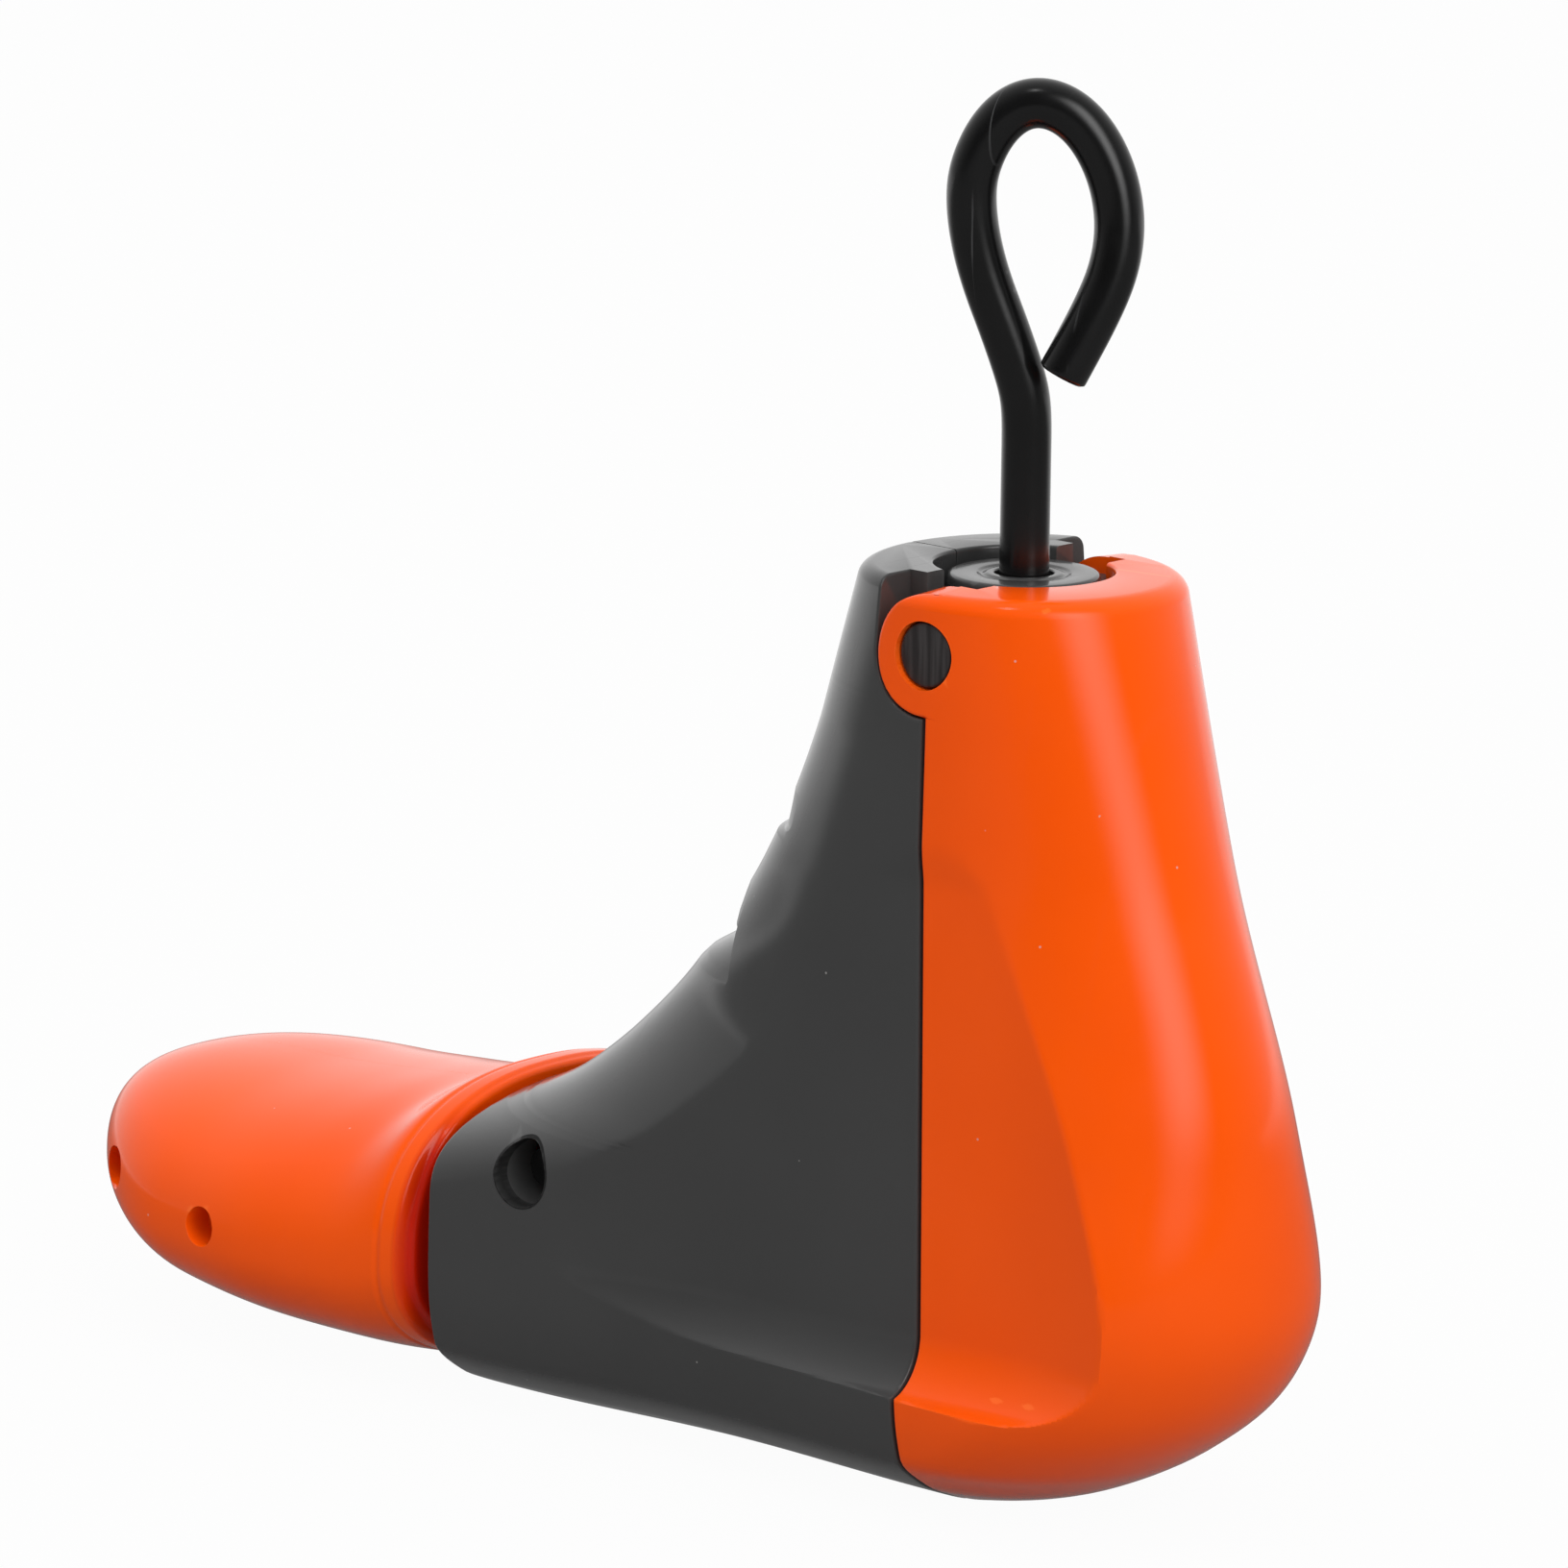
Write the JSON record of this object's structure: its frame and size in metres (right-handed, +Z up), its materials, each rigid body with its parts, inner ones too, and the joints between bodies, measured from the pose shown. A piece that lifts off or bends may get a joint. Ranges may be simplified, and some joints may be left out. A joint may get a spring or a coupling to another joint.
{
  "type": "shoe stretcher",
  "caption": "Two-way shoe stretcher: a hooked screw spindle swings a rounded heel back and spreads a split toe on a hollow two-part body.",
  "frame": {"origin": "middle of the whole length and width, on the plane that the sole stands on", "axes": "+X towards the toe, +Y to the wearer's left, +Z up along the spindle"},
  "size_m": [0.2376, 0.0798, 0.2165],
  "materials": {
    "orange": "gloss",
    "grey": "satin gloss",
    "black": "black coating, satin",
    "pin": "black oxide",
    "steel": "plain"
  },
  "bodies": {
    "body": {"body_shell_left": "grey", "body_shell_right": "grey", "body_screw_1": "steel", "body_screw_2": "steel", "body_screw_3": "steel", "body_screw_4": "steel", "pivot_pin_left": "pin", "pivot_pin_right": "pin", "swivel_block": "grey", "retaining_ring": "steel", "thrust_washer": "steel", "cross_pin": "steel"},
    "spindle": {"hook_spindle": "black", "thrust_collar": "steel", "stop_nut": "steel"},
    "traveller": {"travelling_block": "grey", "drive_nut": "steel", "rear_drive_pin": "steel", "front_drive_pin": "steel"},
    "heel": {"heel_shell": "orange"},
    "spreader": {"toe_spreader": "grey"},
    "toe_left": {"toe_half_left": "orange"},
    "toe_right": {"toe_half_right": "orange"}
  },
  "joints": [
    {"name": "handle_turn", "type": "hinge", "parent": "body", "child": "spindle", "pos_m": [-0.06745, 0, 0.1], "axis": [0, 0, -1], "range_deg": [0, 3600]},
    {"name": "nut_lift", "type": "slide", "parent": "body", "child": "traveller", "axis": [0, 0, 1], "range_m": [0, 0.02]},
    {"name": "heel_swing", "type": "hinge", "parent": "body", "child": "heel", "pos_m": [-0.06895, 0, 0.132], "axis": [0, 1, 0], "range_deg": [0, 8]},
    {"name": "wedge_slide", "type": "slide", "parent": "body", "child": "spreader", "axis": [1, 0, 0], "range_m": [0, 0.012]},
    {"name": "toe_left_slide", "type": "slide", "parent": "body", "child": "toe_left", "axis": [0, 1, 0], "range_m": [0, 0.004]},
    {"name": "toe_right_slide", "type": "slide", "parent": "body", "child": "toe_right", "axis": [0, -1, 0], "range_m": [0, 0.004]}
  ],
  "couplings": [
    {"joint": "nut_lift", "follows": "handle_turn", "m_per_rad": 0.0003183},
    {"joint": "heel_swing", "follows": "handle_turn", "ratio": 0.002222},
    {"joint": "wedge_slide", "follows": "handle_turn", "m_per_rad": 0.00019098},
    {"joint": "toe_left_slide", "follows": "handle_turn", "m_per_rad": 0.00006366},
    {"joint": "toe_right_slide", "follows": "handle_turn", "m_per_rad": 0.00006366}
  ]
}
